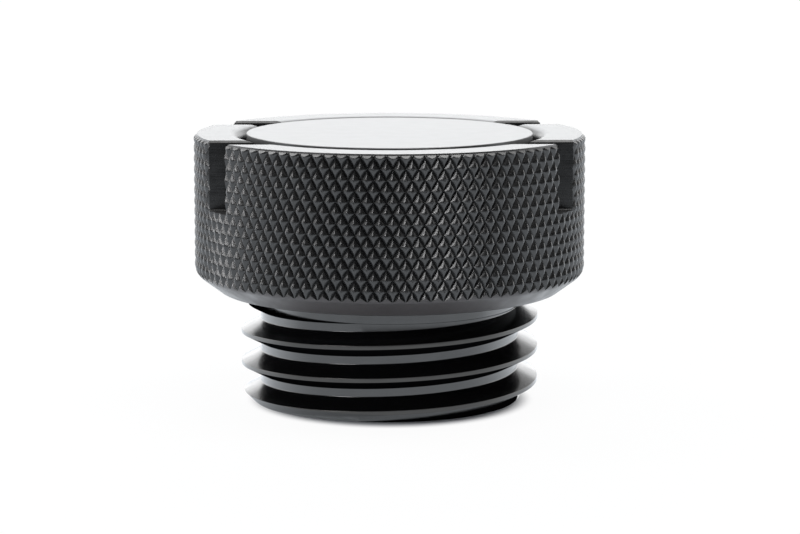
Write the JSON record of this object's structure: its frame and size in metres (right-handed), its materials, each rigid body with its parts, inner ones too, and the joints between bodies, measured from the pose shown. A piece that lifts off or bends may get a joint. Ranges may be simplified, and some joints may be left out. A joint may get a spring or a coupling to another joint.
{
  "type": "oil filler cap",
  "caption": "Round knurled screw-in cap with straight spanner slots across its head, a flush centre disc, a coarse hollow threaded plug and a sealing ring under the head.",
  "frame": {"origin": "centre of the flat end of the threaded plug, on which the cap stands", "axes": "+Z along the thread's axis, up through the head and the centre disc; the slots run along X"},
  "size_m": [0.055, 0.055, 0.0377],
  "materials": {
    "black_anodised_body": "satin black anodised, machined and knurled",
    "black_anodised_disc": "satin black anodised, faced flat",
    "rubber_ring": "matt black nitrile rubber"
  },
  "bodies": {
    "root": {"cap_body": "black_anodised_body", "centre_disc": "black_anodised_disc", "sealing_ring": "rubber_ring"}
  },
  "joints": []
}
